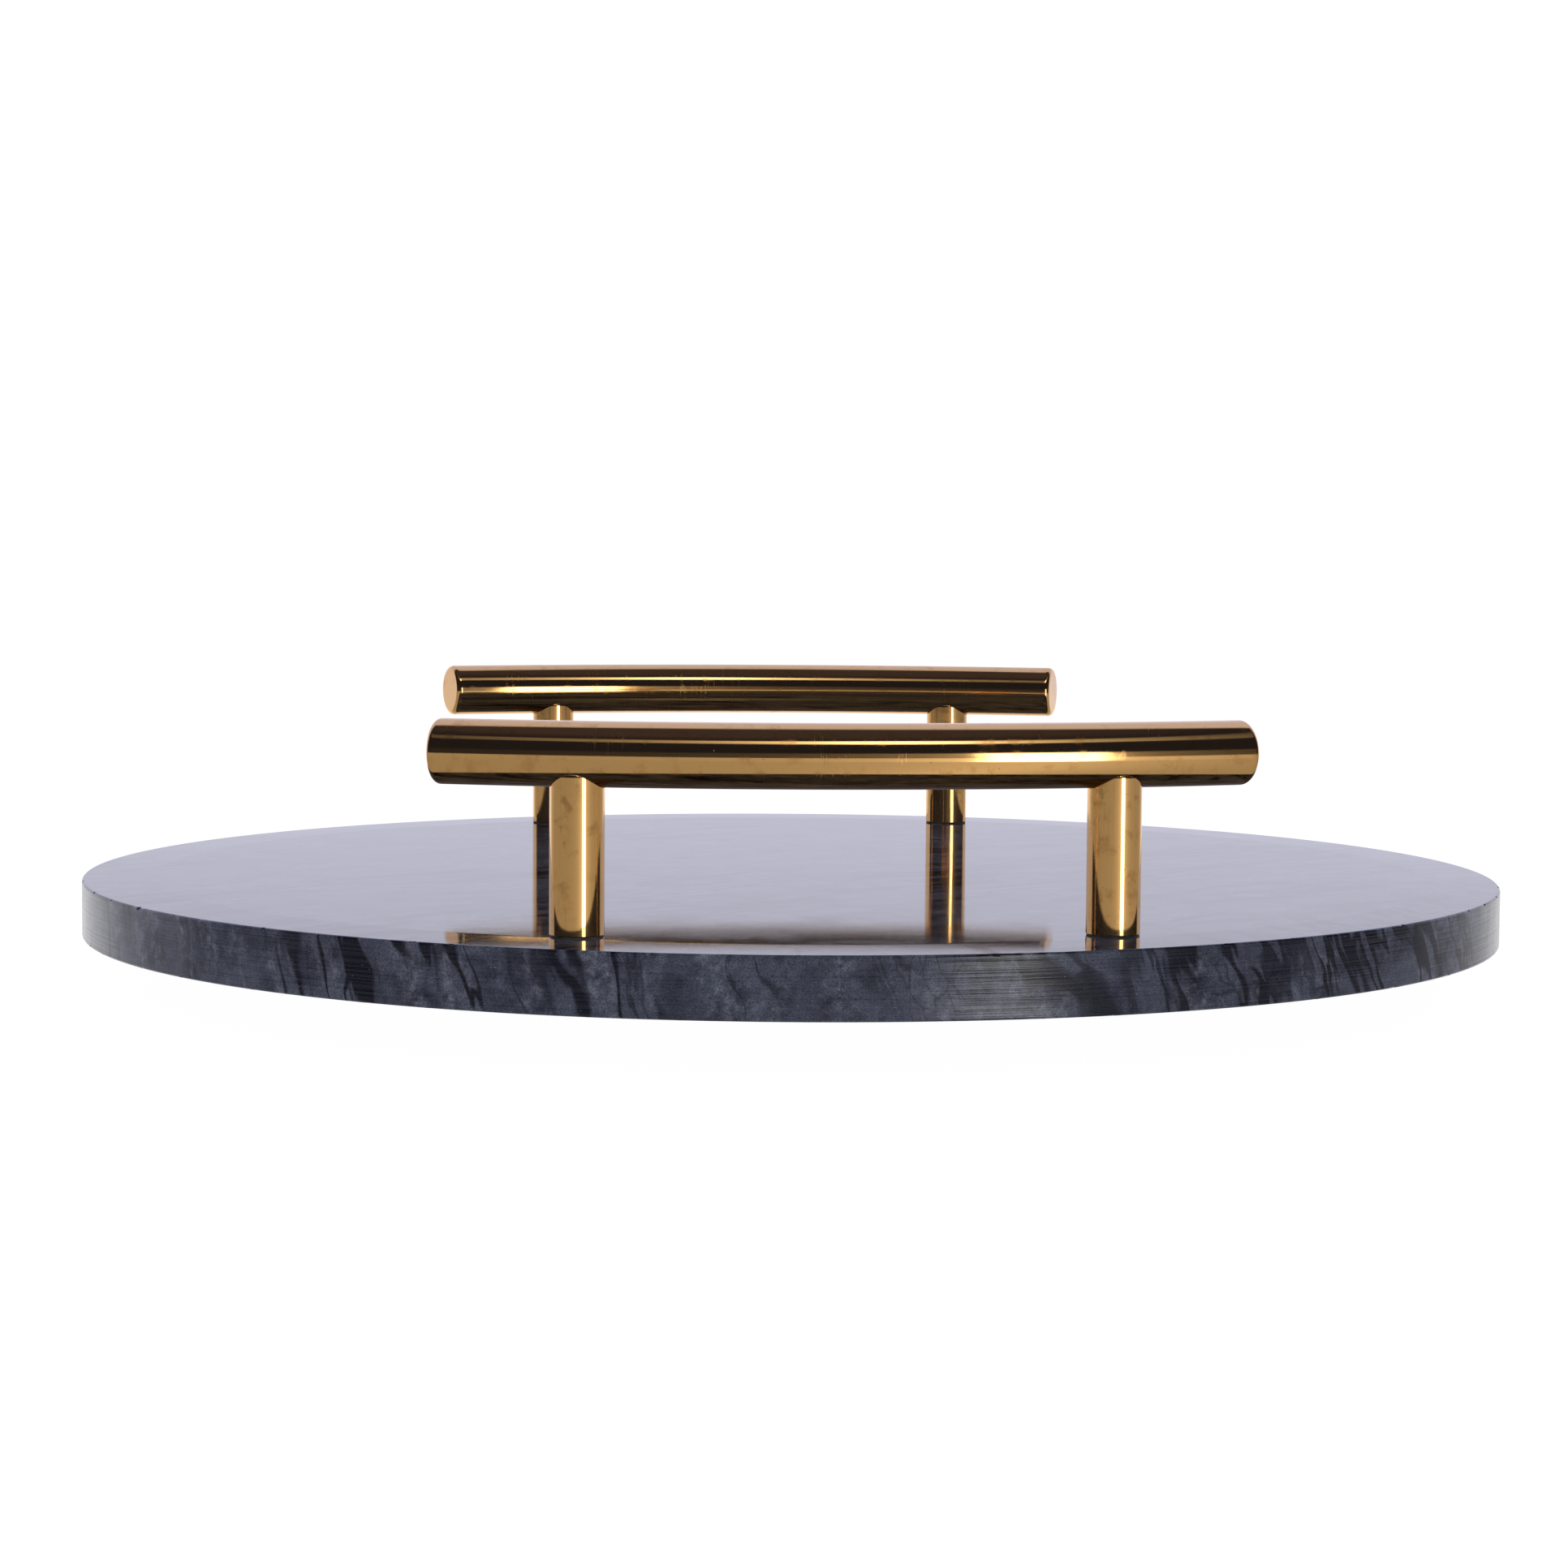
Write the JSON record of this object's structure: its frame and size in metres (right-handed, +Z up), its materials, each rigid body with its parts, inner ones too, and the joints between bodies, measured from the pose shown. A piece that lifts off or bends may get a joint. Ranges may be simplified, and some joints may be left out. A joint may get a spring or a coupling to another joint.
{
  "type": "lazy susan turntable",
  "caption": "Round dark marble serving slab with two curved brass handles, turning without limit on a low aluminium ball-bearing ring with rubber feet.",
  "frame": {"origin": "on the spin axis, at the surface that the rubber feet stand on", "axes": "+Z up along the spin axis; the handles run along X, the front handle at -Y and the rear one at +Y"},
  "size_m": [0.3, 0.3, 0.0615],
  "materials": {
    "marble": "polished top, honed edge, dark blue-grey with black and pale veins",
    "polished_brass": "polished, lightly worn, with faint patina",
    "zinc_steel": "zinc-plated",
    "ball_steel": "ground and polished",
    "ring_aluminium": "turned, satin",
    "insert_brass": "as turned",
    "white_nylon": "moulded, matte",
    "black_rubber": "moulded, matte",
    "black_gasket": "die-cut sheet"
  },
  "bodies": {
    "base": {"standing_ring": "ring_aluminium", "ball_filling_plug": "zinc_steel", "front_foot": "black_rubber", "right_foot": "black_rubber", "rear_foot": "black_rubber", "left_foot": "black_rubber"},
    "turntable": {"marble_slab": "marble", "front_handle_bar": "polished_brass", "rear_handle_bar": "polished_brass", "front_left_post": "polished_brass", "front_right_post": "polished_brass", "rear_left_post": "polished_brass", "rear_right_post": "polished_brass", "bar_studs": "zinc_steel", "post_gaskets": "black_gasket", "handle_screws": "zinc_steel", "steel_washers": "zinc_steel", "rubber_washers": "black_rubber", "turning_ring": "ring_aluminium", "ring_gasket": "black_gasket", "ring_screws": "zinc_steel", "threaded_inserts": "insert_brass"},
    "ball_set": {"bearing_balls": "ball_steel", "ball_cage": "white_nylon"}
  },
  "joints": [
    {"name": "turntable_spin", "type": "hinge", "parent": "base", "child": "turntable", "pos_m": [0, 0, 0.006], "axis": [0, 0, 1], "continuous": true},
    {"name": "cage_spin", "type": "hinge", "parent": "base", "child": "ball_set", "pos_m": [0, 0, 0.0055], "axis": [0, 0, 1], "continuous": true}
  ],
  "couplings": [
    {"joint": "cage_spin", "follows": "turntable_spin", "ratio": 0.4784}
  ]
}
